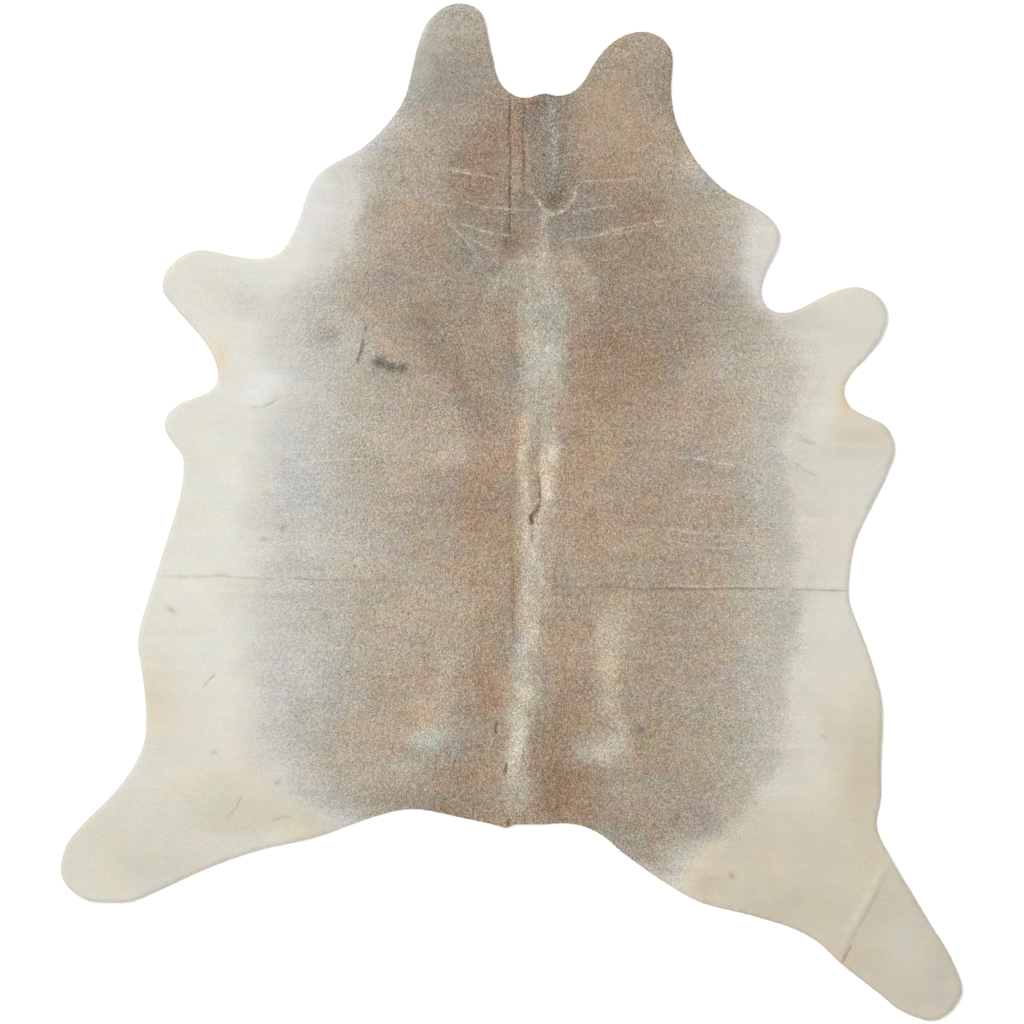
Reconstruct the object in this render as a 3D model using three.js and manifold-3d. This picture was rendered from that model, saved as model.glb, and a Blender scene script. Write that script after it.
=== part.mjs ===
// A cowhide rug: one whole hide, hair side up, lying flat with its head towards +Y.
// Sizes are millimetres. The origin is on the floor under the middle of the hide's outline,
// +X points to the hide's right-hand edge as seen from above, and +Z points up.

import * as THREE from "three";
import { mergeVertices } from "three/addons/utils/BufferGeometryUtils.js";
import Module from "manifold-3d";

// Driving dimensions
const HIDE_THICKNESS = 3; // tanned skin of about 2 mm and its short hair, pressed flat
const OUTLINE_STEP = 20; // length of the short straight cuts that make up the edge
const CELL = 56; // spacing of the skin's grid where it has no crease
const CREASE_CELL = 19; // spacing of the grid beside the long creases
const BACK_CREASES = [-75, 115]; // from where to where, across, the creases of neck and back run
const BACK_LEAN = 0.05; // their sideways drift for each mm towards the head
const PACKING_CREASE = [-195, -120]; // the same, along, for the crease from packing
const PACKING_SLOPE = -0.022; // its fall for each mm to the right
const CUTTER_MARGIN = 40; // how far the grid and the cutting outline pass the hide
const SAMPLES_PER_LANDMARK = 12; // fineness with which the curve's length is measured

const HAIR_COLOUR = 0xa8998a;
const HAIR_ROUGHNESS = 0.85;

// The cut edge, clockwise from the head: landmarks [x, y] of each stretch, joined by one smooth curve.
const EDGE = {
  leftHeadLobe: [
    [-240, 931], [-227, 976], [-207, 1059], [-187, 1102], [-151, 1134],
    [-112, 1143], [-71, 1126], [-47, 1041], [-27, 968], [1, 940],
  ],
  headNotch: [[32, 931], [72, 941], [108, 936], [140, 946]],
  rightHeadLobe: [
    [165, 972], [188, 1011], [218, 1047], [254, 1071],
    [295, 1080], [334, 1068], [359, 1035], [359, 944],
  ],
  rightNeck: [
    [368, 886], [392, 830], [419, 786], [479, 725], [557, 680], [591, 650],
    [603, 618], [591, 580], [571, 539], [562, 497], [573, 463], [605, 448],
  ],
  rightForeleg: [
    [639, 453], [688, 477], [737, 499], [785, 504], [827, 482],
    [844, 443], [831, 393], [800, 350], [764, 311], [748, 272],
  ],
  rightElbow: [[763, 236], [806, 212], [841, 193], [861, 146], [844, 83], [775, -64], [759, -154]],
  rightFlank: [
    [760, -201], [795, -293], [818, -365], [832, -430], [830, -568], [831, -642], [822, -709],
  ],
  rightHindLeg: [
    [857, -786], [900, -856], [942, -926], [984, -995], [1013, -1073],
    [1006, -1096], [983, -1126], [947, -1143], [875, -1120],
  ],
  rightRump: [
    [833, -1087], [741, -1014], [690, -967], [638, -938], [586, -920], [526, -903],
    [423, -876], [340, -829], [251, -766], [206, -728], [162, -706],
  ],
  tailEdge: [
    [115, -699], [70, -702], [4, -703], [-7, -709], [-54, -699], [-106, -688], [-207, -668], [-252, -670],
  ],
  leftRump: [
    [-320, -688], [-443, -732], [-567, -760], [-682, -800], [-801, -854], [-855, -875], [-902, -877],
  ],
  leftHindLeg: [
    [-953, -872], [-991, -849], [-1011, -817], [-1011, -786], [-996, -742],
    [-963, -702], [-889, -627], [-847, -568], [-826, -518],
  ],
  leftFlank: [
    [-821, -457], [-832, -347], [-839, -307], [-834, -257],
    [-810, -177], [-775, -64], [-745, 35], [-737, 92],
  ],
  leftElbow: [
    [-740, 128], [-760, 155], [-778, 186], [-775, 215], [-747, 242], [-705, 258], [-669, 279], [-659, 302],
  ],
  leftForeleg: [
    [-667, 341], [-688, 381], [-759, 464], [-783, 499], [-777, 536], [-745, 572],
    [-704, 588], [-630, 576], [-576, 569], [-541, 573], [-515, 587],
  ],
  leftNeck: [[-495, 619], [-478, 656], [-463, 701], [-450, 736], [-423, 768], [-331, 822], [-271, 882]],
};

// Where the skin stands off the floor: folds along a path, and swells about a short one.
// rise: mm at the crest, less than 0 for a trough cut into the fold that it crosses.
// reach: mm from the crest to where it has died away. path: [x, y] from end to end.
const FOLDS = [
  { name: "packing crease", rise: 2.6, reach: 30, path: [[-800, -142], [-324, -151], [775, -177]] },
  { name: "neck roll", rise: 6, reach: 58, path: [[12, 960], [10, 690]] },
  { name: "neck crease", rise: -5, reach: 22, path: [[-2, 960], [-2, 640]] },
  { name: "back line, fore", rise: 4, reach: 60, path: [[76, 600], [74, 250], [60, 130]] },
  { name: "back line, hind", rise: 4, reach: 60, path: [[60, 130], [36, -200], [16, -500], [16, -700]] },
  { name: "back crevice", rise: -3.5, reach: 22, path: [[60, 139], [65, 40], [47, -20]] },
  { name: "hind leg fold", rise: 7, reach: 60, path: [[870, -760], [742, -1009], [730, -1032]] },
  { name: "left armpit", rise: 6, reach: 60, path: [[-655, 300], [-592, 243], [-556, 240], [-515, 263]] },
  { name: "right armpit", rise: 6, reach: 60, path: [[637, 168], [655, 155], [693, 155], [850, 150]] },
  { name: "left head lobe", rise: 6, reach: 105, path: [[-135, 1125], [-120, 1060]] },
  { name: "right head lobe", rise: 5, reach: 100, path: [[300, 1060], [285, 1010]] },
  { name: "left foreleg tip", rise: 7, reach: 110, path: [[-760, 540], [-700, 545]] },
  { name: "right foreleg tip", rise: 7, reach: 100, path: [[830, 450], [770, 440]] },
  { name: "left hind leg tip", rise: 6, reach: 110, path: [[-990, -810], [-920, -820]] },
  { name: "right hind leg tip", rise: 6, reach: 100, path: [[985, -1090], [930, -1050]] },
  { name: "left flank wave", rise: 4, reach: 110, path: [[-835, -330], [-815, -260]] },
  { name: "right flank wave", rise: 5, reach: 120, path: [[835, -520], [825, -440]] },
  { name: "right shoulder wave", rise: 4, reach: 80, path: [[600, 620], [575, 560]] },
  { name: "left elbow wave", rise: 4, reach: 75, path: [[-775, 190], [-745, 60]] },
];

/** Curve points a steady step apart along the closed cut edge. */
function cutEdge() {
  const landmarks = Object.values(EDGE).flat().map(([x, y]) => new THREE.Vector3(x, y, 0));
  const curve = new THREE.CatmullRomCurve3(landmarks, true, "centripetal");
  curve.arcLengthDivisions = landmarks.length * SAMPLES_PER_LANDMARK;
  const steps = Math.round(curve.getLength() / OUTLINE_STEP);
  const points = curve.getSpacedPoints(steps).slice(0, steps);
  return points.map((p) => new THREE.Vector2(p.x, p.y));
}

/** Distance in mm from a place to the nearest point of a path. */
function distanceToPath(place, path) {
  const nearest = new THREE.Vector3();
  let least = Infinity;
  for (let i = 1; i < path.length; i++) {
    const leg = new THREE.Line3(new THREE.Vector3(...path[i - 1], 0), new THREE.Vector3(...path[i], 0));
    leg.closestPointToPoint(place, true, nearest);
    least = Math.min(least, nearest.distanceTo(place));
  }
  return least;
}

/** Height in mm of the skin's underside above the floor. */
function standOff(x, y) {
  const place = new THREE.Vector3(x, y, 0);
  let crest = 0;
  let trough = 0;
  for (const { rise, reach, path } of FOLDS) {
    const off = distanceToPath(place, path) / reach;
    if (off >= 1) continue;
    const height = rise * (1 - off * off) ** 2;
    crest = Math.max(crest, height);
    trough = Math.min(trough, height);
  }
  return Math.max(crest + trough, 0);
}

/** Places of the grid lines from low to high, closer together where creases run. */
function gridLines(low, high, [creaseFrom, creaseTo]) {
  const lines = [low];
  while (lines.at(-1) < high) {
    const at = lines.at(-1);
    const step = at >= creaseFrom - CELL && at < creaseTo ? CREASE_CELL : CELL;
    lines.push(at + step);
  }
  return lines;
}

/** A box of loose skin, larger than the hide, whose two sides follow the folds. */
function foldedSkin(edge) {
  const box = new THREE.Box2().setFromPoints(edge).expandByScalar(CUTTER_MARGIN);
  const spread = CUTTER_MARGIN + BACK_LEAN * box.max.y;
  const columns = gridLines(box.min.x - spread, box.max.x + spread, BACK_CREASES);
  const rows = gridLines(box.min.y - CUTTER_MARGIN, box.max.y + CUTTER_MARGIN, PACKING_CREASE);
  const across = columns.length - 1;
  const along = rows.length - 1;
  const skin = new THREE.BoxGeometry(across, along, HIDE_THICKNESS, across, along, 1);
  const at = skin.getAttribute("position");
  for (let i = 0; i < at.count; i++) {
    const column = columns[Math.round(at.getX(i) + across / 2)];
    const row = rows[Math.round(at.getY(i) + along / 2)];
    const x = column + BACK_LEAN * row;
    const y = row + PACKING_SLOPE * column;
    const side = at.getZ(i) > 0 ? HIDE_THICKNESS : 0;
    at.setXYZ(i, x, y, side + standOff(x, y));
  }
  return skin;
}

/** An upright block with the hide's outline, taller than the folded skin. */
function outlineCutter(edge) {
  const cutter = new THREE.ExtrudeGeometry(new THREE.Shape(edge), {
    depth: 2 * CUTTER_MARGIN,
    bevelEnabled: false,
  });
  cutter.translate(0, 0, -CUTTER_MARGIN);
  return cutter;
}

const wasm = await Module();
wasm.setup();

/** A closed geometry as a solid that can be joined and cut. */
function toSolid(geometry) {
  const bare = geometry.clone();
  bare.deleteAttribute("normal");
  bare.deleteAttribute("uv");
  const merged = mergeVertices(bare);
  const vertProperties = new Float32Array(merged.getAttribute("position").array);
  const triVerts = new Uint32Array(merged.index.array);
  return new wasm.Manifold(new wasm.Mesh({ numProp: 3, vertProperties, triVerts }));
}

/** A solid as a geometry with flat faces. */
function toGeometry(solid) {
  const mesh = solid.getMesh();
  const geometry = new THREE.BufferGeometry();
  geometry.setAttribute("position", new THREE.BufferAttribute(mesh.vertProperties, mesh.numProp));
  geometry.setIndex(new THREE.BufferAttribute(mesh.triVerts, 1));
  geometry.computeVertexNormals();
  return geometry;
}

/** The hide: folded skin cut along its outline, in one piece. */
function hide() {
  const edge = cutEdge();
  const cut = toSolid(foldedSkin(edge)).intersect(toSolid(outlineCutter(edge)));
  const material = new THREE.MeshStandardMaterial({
    color: HAIR_COLOUR,
    roughness: HAIR_ROUGHNESS,
    metalness: 0,
  });
  const mesh = new THREE.Mesh(toGeometry(cut), material);
  mesh.name = "hide";
  return mesh;
}

const rug = new THREE.Group();
rug.add(hide());

export default rug;
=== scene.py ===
"""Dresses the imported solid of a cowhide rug: its skin, creases, roan hair and a plain studio."""

import logging
from dataclasses import dataclass, field
from enum import Enum

import bmesh
import bpy
import numpy as np
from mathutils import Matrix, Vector
from mathutils.bvhtree import BVHTree
from mathutils.geometry import delaunay_2d_cdt

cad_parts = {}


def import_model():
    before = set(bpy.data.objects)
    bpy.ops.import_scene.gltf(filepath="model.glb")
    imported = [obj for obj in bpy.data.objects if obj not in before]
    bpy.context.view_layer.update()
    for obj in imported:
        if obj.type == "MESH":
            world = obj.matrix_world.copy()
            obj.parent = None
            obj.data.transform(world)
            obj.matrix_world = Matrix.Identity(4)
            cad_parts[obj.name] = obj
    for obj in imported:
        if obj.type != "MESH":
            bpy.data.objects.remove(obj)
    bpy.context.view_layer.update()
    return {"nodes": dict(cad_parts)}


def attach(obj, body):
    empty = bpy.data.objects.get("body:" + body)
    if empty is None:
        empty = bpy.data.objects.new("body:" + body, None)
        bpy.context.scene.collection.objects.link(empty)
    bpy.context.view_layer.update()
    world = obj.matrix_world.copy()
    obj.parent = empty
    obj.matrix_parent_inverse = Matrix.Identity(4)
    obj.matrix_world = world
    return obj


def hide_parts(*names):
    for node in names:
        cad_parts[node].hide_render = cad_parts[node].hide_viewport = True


LOG = logging.getLogger("cowhide_rug")

MM = 0.001
PHOTO_PIXEL = 2.25 * MM
PHOTO_SIDE = 1024
BAKE_MAP = "OFBake"
HAIR_COLOURS = "hair_colours"
TOP_NORMAL = 0.5  # a face whose normal rises more than this belongs to the top
CORNER_TURN = 0.1  # degrees by which the rim turns at a corner of the outline
CURVE_STEPS = 8  # points of the smooth curve from one corner to the next
BLUNT_END = 0.15  # how far into its fade a stroke starts
UNEVEN = (0.2, 1.3)  # the least and the most that an uneven stroke shows

Path = tuple[tuple[float, float], ...]
Tint = tuple[float, float, float]
Span = tuple[float, float]
Layers = tuple[tuple[int, float, float], ...]

# Layers of mottle: seed, scale in mm and weight of each.
EDGE_LAYERS: Layers = ((11, 70.0, 1.0), (12, 20.0, 0.5))
RAGGED_ACROSS: Layers = ((41, 60.0, 1.0), (42, 15.0, 0.7))
RAGGED_ALONG: Layers = ((43, 60.0, 1.0), (44, 15.0, 0.7))
LIGHT_LAYERS: Layers = ((21, 44.0, 1.2), (22, 17.0, 0.7))
WARM_LAYERS: Layers = ((25, 40.0, 1.0), (26, 18.0, 0.8), (27, 9.0, 0.5))
GREEN_LAYERS: Layers = ((28, 24.0, 0.6), (29, 10.0, 0.9))


def to_linear(tints: np.ndarray) -> np.ndarray:
    """Turns display colours into the linear ones that a shader takes.

    Args:
        tints: Colours from 0 to 255, one row each.

    Returns:
        The same colours as linear light, from 0 to 1.
    """
    share = np.clip(tints / 255.0, 0.0, 1.0)
    return np.where(share <= 0.04045, share / 12.92, ((share + 0.055) / 1.055) ** 2.4)


def smooth_step(low: float, high: float, values: np.ndarray) -> np.ndarray:
    """Rises softly from 0 at low to 1 at high."""
    share = np.clip((values - low) / (high - low), 0.0, 1.0)
    return share * share * (3.0 - 2.0 * share)


@dataclass(frozen=True)
class Mottle:
    """A smooth random field over the floor with a spread of about 1."""

    seed: int
    scale: float
    stretch: float = 1.0
    reach: float = 1400.0
    height: float = 2.1

    def at(self, x: np.ndarray, y: np.ndarray) -> np.ndarray:
        """Reads the field at places in mm.

        Args:
            x: Places across.
            y: Places along.

        Returns:
            The field's value at each place.
        """
        side = int(2 * self.reach / self.scale) + 5
        knots = np.random.default_rng(self.seed).normal(0.0, self.height, (side, side))
        across = (x / self.stretch + self.reach) / self.scale + 1
        return spline_read(knots, across, (y + self.reach) / self.scale + 1)


def layered(layers: Layers, x: np.ndarray, y: np.ndarray) -> np.ndarray:
    """Adds up layers of mottle at places in mm."""
    return sum(weight * Mottle(seed, scale).at(x, y) for seed, scale, weight in layers)


def spline_read(knots: np.ndarray, column: np.ndarray, row: np.ndarray) -> np.ndarray:
    """Reads a grid as a smooth surface, by a cubic spline over four by four of its knots.

    Args:
        knots: Heights by row and column.
        column: Where to read, in knots across.
        row: Where to read, in knots along.

    Returns:
        The surface's height at each place.
    """
    first_c = np.clip(np.floor(column).astype(int), 1, knots.shape[1] - 3)
    first_r = np.clip(np.floor(row).astype(int), 1, knots.shape[0] - 3)
    total = np.zeros(np.shape(column))
    for dr, wr in enumerate(spline_weights(row - first_r)):
        for dc, wc in enumerate(spline_weights(column - first_c)):
            total += wr * wc * knots[first_r + dr - 1, first_c + dc - 1]
    return total


def spline_weights(t: np.ndarray) -> tuple[np.ndarray, ...]:
    """The four shares that a place t of the way between two knots takes of the knots around it."""
    return (
        (1 - t) ** 3 / 6,
        (3 * t**3 - 6 * t**2 + 4) / 6,
        (-3 * t**3 + 3 * t**2 + 3 * t + 1) / 6,
        t**3 / 6,
    )


@dataclass(frozen=True)
class Patch:
    """A soft oval of colour in the coat, at a listed place. Lengths are mm from the rug's middle.

    name only tells the reader which patch it is.
    """

    name: str
    x: float
    y: float
    wide: float
    long: float
    tint: Tint
    strength: float
    speckle: float = 0.0
    turn: float = 0.0

    def weight(self, x: np.ndarray, y: np.ndarray) -> np.ndarray:
        """How strongly the patch shows at each place, from 0 to its strength."""
        angle = np.radians(self.turn)
        across = (x - self.x) * np.cos(angle) + (y - self.y) * np.sin(angle)
        along = (y - self.y) * np.cos(angle) - (x - self.x) * np.sin(angle)
        return self.strength * np.exp(-((across / self.wide) ** 2 + (along / self.long) ** 2))


@dataclass(frozen=True)
class Stroke:
    """A band, crease, scratch or scar that follows a path. Lengths are mm from the rug's middle.

    rise is the height of its ridge, or less than 0 for a trough. On creases, folds and wrinkles the
    tint is painted light: a dark tint is painted shade along a trough or a shaded side, a light tint
    a painted highlight on a ridge. fade is the length over which it dies away at its two ends. It
    strays from its path by about wander, over lengths of sway, and is uneven by breaks, over lengths
    of grain. name only tells the reader which it is.
    """

    name: str
    path: Path
    reach: float
    tint: Tint
    strength: float
    rise: float = 0.0
    fade: float = 20.0
    speckle: float = 0.0
    wander: float = 1.2
    breaks: float = 0.25
    sway: float = 34.0
    grain: float = 12.0

    def weight(self, x: np.ndarray, y: np.ndarray) -> np.ndarray:
        """How close each place is to the stroke, from 0 outside its reach to 1 on its path.

        Args:
            x: Places across.
            y: Places along.

        Returns:
            The stroke's profile, faded at its ends.
        """
        points = np.array(self.path, float)
        room = self.reach + 3.0 * self.wander
        low = points.min(0) - room
        high = points.max(0) + room
        near = (x > low[0]) & (x < high[0]) & (y > low[1]) & (y < high[1])
        found = np.zeros(np.shape(x))
        if near.any():
            x, y = x[near], y[near]
            side = self.wander * Mottle(51, self.sway).at(x, y)
            swing = self.wander * Mottle(52, self.sway).at(x, y)
            uneven = 1.0 + self.breaks * Mottle(53, self.grain).at(x, y)
            near_path = self.profile(np.stack([x + side, y + swing], 1), points)
            found[near] = near_path * np.clip(uneven, *UNEVEN)
        return found

    def profile(self, places: np.ndarray, points: np.ndarray) -> np.ndarray:
        """The stroke's profile at places near it.

        Args:
            places: One row of x and y for each place.
            points: One row for each point of the path.

        Returns:
            The profile, from 0 to 1.
        """
        least = np.full(len(places), np.inf)
        along = np.zeros(len(places))
        done = 0.0
        for a, b in zip(points[:-1], points[1:]):
            leg = b - a
            length = float(np.hypot(*leg))
            share = np.clip((places - a) @ leg / length**2, 0.0, 1.0)
            away = np.hypot(*(places - a - share[:, None] * leg).T)
            closer = away < least
            least = np.where(closer, away, least)
            along = np.where(closer, done + share * length, along)
            done += length
        side = np.clip(1.0 - (least / self.reach) ** 2, 0.0, 1.0) ** 2
        fade = min(self.fade, done / 2)
        return side * smooth_step(0.0, fade, np.minimum(along, done - along) + fade * BLUNT_END)


@dataclass(frozen=True)
class Band(Stroke):
    """A broad soft stroke of colour, with ragged sides."""

    wander: float = 3.5
    breaks: float = 0.16


# The cream hair of belly and legs, painted first. The broad darker patches over the right side, the
# haunches and the right hind leg are painted shade, where the light falls off from the upper left.
CREAM_PATCHES = (
    # Painted shade: the right side and the haunches darker, as the light falls off to the right and the
    # bottom.
    Patch("shaded right side", 900, -100, 620, 1500, (210, 205, 191), 0.8),
    Patch("shaded haunches", 150, -1150, 1400, 420, (204, 196, 177), 0.85),
    Patch("pale left hind leg", -900, -760, 240, 130, (213, 210, 195), 0.8),
    Patch("white shoulder", -421, 668, 90, 90, (224, 223, 221), 0.95),
    Patch("cream right shoulder", 566, 645, 70, 90, (216, 213, 201), 0.9),
    Patch("cream right foreleg", 745, 430, 150, 90, (212, 210, 198), 0.9),
    Patch("tan left foreleg edge", -652, 344, 24, 42, (232, 213, 184), 0.75),
    Patch("grey root of left foreleg", -575, 466, 60, 42, (206, 204, 198), 0.7, 2.6),
    Patch("white left armpit", -526, 286, 70, 46, (230, 230, 229), 0.95),
    Patch("grey root of right foreleg", 640, 370, 90, 90, (195, 188, 174), 0.85, 2.6),
    Patch("pale under right foreleg", 716, 308, 62, 80, (221, 219, 207), 0.9),
    Patch("tan right foreleg edge", 744, 254, 30, 42, (219, 198, 171), 0.8),
    Patch("white right armpit", 672, 206, 44, 42, (222, 222, 215), 0.6),
    Patch("tan right elbow", 790, 168, 90, 44, (205, 194, 172), 0.85),
    Patch("tan left flank edge", -795, -430, 55, 78, (217, 205, 182), 0.75),
    Patch("tan left haunch", -612, -592, 80, 60, (211, 199, 174), 0.6),
    Patch("warm left thigh", -690, -560, 150, 110, (218, 212, 197), 0.6),
    Patch("tan left rump edge", -445, -705, 90, 42, (210, 196, 172), 0.6),
    Patch("tan right flank edge", 795, -575, 80, 175, (195, 183, 158), 0.82),
    Patch("pale right thigh", 676, -640, 36, 100, (220, 216, 204), 0.7),
    Patch("tan right rump edge", 448, -830, 50, 34, (188, 164, 133), 0.9),
    # The darker patches of the right rump, haunch, leg and toe below are painted shade, where the light
    # falls off towards the lower right.
    Patch("shaded right rump", 520, -740, 150, 80, (197, 188, 170), 0.85),
    Patch("tan right flank streak", 716, -508, 28, 72, (203, 195, 179), 0.9),
    Patch("shaded right haunch", 660, -860, 300, 260, (201, 192, 173), 0.8, 0.7),
    Patch("shaded haunch edge", 600, -888, 110, 46, (190, 182, 165), 0.6),
    Patch("shaded right leg", 850, -960, 190, 220, (194, 186, 167), 0.8, 0.6),
    Patch("shaded right toe", 960, -1055, 76, 85, (190, 183, 169), 0.8),
    Patch("cool right shin", 884, -970, 56, 90, (203, 198, 186), 0.6),
    Patch("grey belly right", 745, -310, 62, 120, (211, 207, 196), 0.7),
    Patch("dull left foot edge", -790, -805, 100, 45, (206, 201, 185), 0.8),
    Patch("dull left haunch", -600, -675, 150, 62, (204, 197, 179), 0.7),
)

# Patches of the darker coat, painted over its ramp.
COAT_PATCHES = (
    Patch("grey left head lobe", -118, 1110, 80, 90, (178, 172, 161), 0.7, -1.5),
    Patch("dark left lobe root", -138, 980, 80, 90, (152, 145, 133), 0.8, -1.5),
    Patch("right head lobe", 300, 1030, 80, 100, (161, 149, 134), 0.75),
    Patch("dark right lobe edge", 350, 940, 26, 110, (150, 138, 122), 0.6, 2.0),
    Patch("light right lobe root", 235, 920, 60, 60, (176, 157, 136), 0.7, -3.0),
    Patch("pale neck edge left", -292, 875, 50, 45, (194, 190, 180), 0.6, -2.0),
    Patch("pale left head lobe", -205, 1000, 42, 62, (184, 178, 167), 0.8, -2.0),
    Patch("tawny neck left", -85, 760, 72, 80, (150, 129, 107), 0.9),
    Patch("pale neck left", -192, 782, 50, 62, (178, 168, 152), 0.7),
    Patch("brown neck fold left", -40, 842, 46, 72, (149, 128, 108), 0.85),
    Patch("brown head notch", 63, 918, 90, 34, (149, 127, 108), 0.7),
    Patch("brown neck inner right", 222, 785, 72, 64, (153, 132, 111), 0.9),
    Patch("dark under whorl", 28, 674, 58, 32, (141, 129, 117), 0.85),
    Patch("grey neck left", -90, 585, 85, 75, (147, 137, 123), 0.9),
    Patch("grey neck right", 140, 640, 70, 60, (148, 138, 124), 0.8),
    Patch("tawny neck right", 230, 850, 100, 110, (175, 156, 133), 0.7, -2.5),
    Patch("brown shoulder right", 245, 350, 120, 120, (151, 124, 99), 0.9),
    Patch("brown withers right", 280, 560, 130, 90, (150, 133, 113), 0.85),
    Patch("brown shoulder left", -100, 410, 100, 110, (158, 142, 123), 0.8),
    Patch("brown shoulder left edge", -250, 500, 110, 160, (163, 147, 130), 0.9),
    Patch("pale ribs left", -270, 190, 120, 70, (188, 176, 162), 0.75),
    Patch("ribs right", 460, 20, 130, 180, (166, 151, 133), 0.8),
    Patch("side right", 340, -130, 180, 300, (158, 142, 123), 0.45),
    Patch("beige leg root right", 598, 335, 84, 105, (187, 178, 163), 0.7),
    Patch("dark root of right foreleg", 518, 402, 68, 48, (163, 154, 139), 0.95),
    Patch("grey neck edge right", 420, 778, 42, 52, (199, 197, 193), 0.65, -1.5),
    Patch("blue belly rim right", 598, 92, 60, 72, (192, 190, 187), 0.6, -1.0),
    Patch("warm thigh left low", -490, -590, 60, 50, (195, 187, 171), 0.6),
    Patch("ribs left", -420, -110, 115, 200, (195, 189, 179), 0.45),
    Patch("pale side left", -482, -108, 50, 50, (204, 201, 195), 0.6),
    Patch("tan ribs right", 455, 225, 90, 70, (172, 154, 134), 0.7),
    Patch("brown elbow right", 450, 470, 110, 90, (157, 144, 127), 0.9),
    Patch("neck side right", 420, 700, 90, 60, (168, 157, 140), 0.6, -1.5),
    Patch("belly rim right", 600, -100, 90, 620, (183, 178, 166), 0.6),
    Patch("belly rim right low", 590, -330, 76, 120, (174, 169, 156), 0.7),
    Patch("rump rim right", 510, -650, 90, 60, (182, 174, 157), 0.8),
    Patch("tan loin right", 190, 10, 90, 120, (170, 148, 123), 0.8),
    Patch("tawny loin left", -58, 20, 60, 120, (161, 136, 110), 0.9),
    Patch("tan loin left", -80, -160, 60, 80, (171, 149, 122), 0.7),
    Patch("tawny rump left", -75, -340, 48, 100, (160, 140, 116), 0.8),
    Patch("brown rump left", -75, -590, 70, 90, (164, 142, 118), 0.7),
    Patch("brown rump right", 124, -575, 70, 110, (141, 115, 90), 0.9, 0.5),
    Patch("tawny rump right", 122, -435, 48, 110, (152, 130, 106), 0.9),
    Patch("dark rump right", 365, -620, 110, 90, (157, 144, 129), 0.9),
    Patch("thigh right", 400, -460, 120, 160, (163, 153, 136), 0.8),
    Patch("hip left", -182, -500, 50, 32, (197, 193, 180), 0.9),
    Patch("hip right", 208, -533, 62, 30, (190, 184, 168), 0.9),
    Patch("hip right outer", 258, -520, 30, 24, (191, 184, 168), 0.6),
    Patch("brown hip side right", 330, -535, 44, 60, (150, 136, 118), 0.7),
    Patch("whorl", 97, 688, 38, 30, (118, 105, 91), 0.8, 3.0),
    Patch("bright back", 70, 332, 30, 42, (212, 209, 195), 0.85, -1.0),
    Patch("pale withers", 80, 500, 62, 62, (182, 174, 158), 0.65),
    Patch("dark withers left", 8, 612, 34, 26, (137, 126, 113), 0.75),
    Patch("dark withers right", 104, 614, 30, 24, (139, 128, 115), 0.65),
    Patch("grey back left", -14, 350, 28, 64, (149, 138, 123), 0.7),
    Patch("tan neck left", -285, 654, 60, 50, (175, 157, 137), 0.7),
    Patch("orange neck left", -158, 600, 45, 52, (171, 145, 121), 0.8),
    Patch("dark neck left", -94, 690, 50, 45, (147, 133, 118), 0.85),
    Patch("dark neck right", 158, 690, 60, 48, (144, 133, 119), 0.85),
    Patch("brown neck right", 288, 672, 84, 74, (146, 128, 109), 0.9),
    Patch("tawny shoulder edge right", 425, 620, 75, 65, (167, 150, 132), 0.8),
    Patch("pale shoulder left", -376, 375, 72, 60, (196, 192, 181), 0.75, -1.5),
    Patch("brown shoulder right outer", 325, 405, 100, 100, (145, 127, 108), 0.85),
    Patch("brown ribs right", 364, -158, 82, 72, (160, 143, 125), 0.8),
    Patch("brown loin right", 156, 132, 55, 60, (161, 141, 117), 0.85),
    Patch("pale flank right inner", 256, -240, 46, 52, (185, 171, 151), 0.75),
    Patch("brown rump left low", -118, -625, 72, 60, (157, 135, 111), 0.8),
    Patch("pale rib left", -133, 121, 46, 40, (190, 176, 161), 0.9),
    Patch("pale loin left", -252, -199, 120, 130, (182, 172, 155), 0.75),
    Patch("pale loin left inner", -133, -221, 45, 72, (182, 166, 145), 0.8),
    Patch("pale above hip left", -182, -440, 46, 44, (193, 178, 158), 0.8),
    Patch("grey thigh left", -477, -401, 62, 62, (184, 180, 175), 0.6),
    Patch("reddish rump left", -48, -420, 34, 66, (157, 131, 108), 0.85),
    Patch("brown thigh right", 326, -401, 70, 130, (158, 142, 123), 0.85),
    Patch("dark rump right low", 395, -680, 80, 58, (157, 147, 135), 0.85),
    Patch("dark rump edge right", 284, -700, 105, 38, (157, 141, 122), 0.9),
    Patch("rump edge right low", 292, -752, 66, 24, (158, 145, 128), 0.85, turn=-35),
    Patch("brown tail edge right", 108, -668, 90, 34, (143, 117, 94), 0.85),
    Patch("grey tail edge left", -27, -672, 40, 26, (157, 147, 132), 0.7),
    Patch("dark rump edge left", -243, -652, 110, 30, (160, 149, 133), 0.8),
    Patch("brown rump edge left", -120, -672, 80, 28, (150, 130, 108), 0.85),
    Patch("pale rump left", -243, -594, 50, 40, (184, 178, 165), 0.6),
    Patch("hip right corner", 252, -488, 20, 24, (191, 184, 168), 0.6),
    Patch("blue flank left", -500, 60, 80, 120, (194, 194, 190), 0.6, -1.0),
    Patch("blue flank low left", -520, -320, 70, 110, (194, 193, 189), 0.6, -1.0),
)

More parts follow.
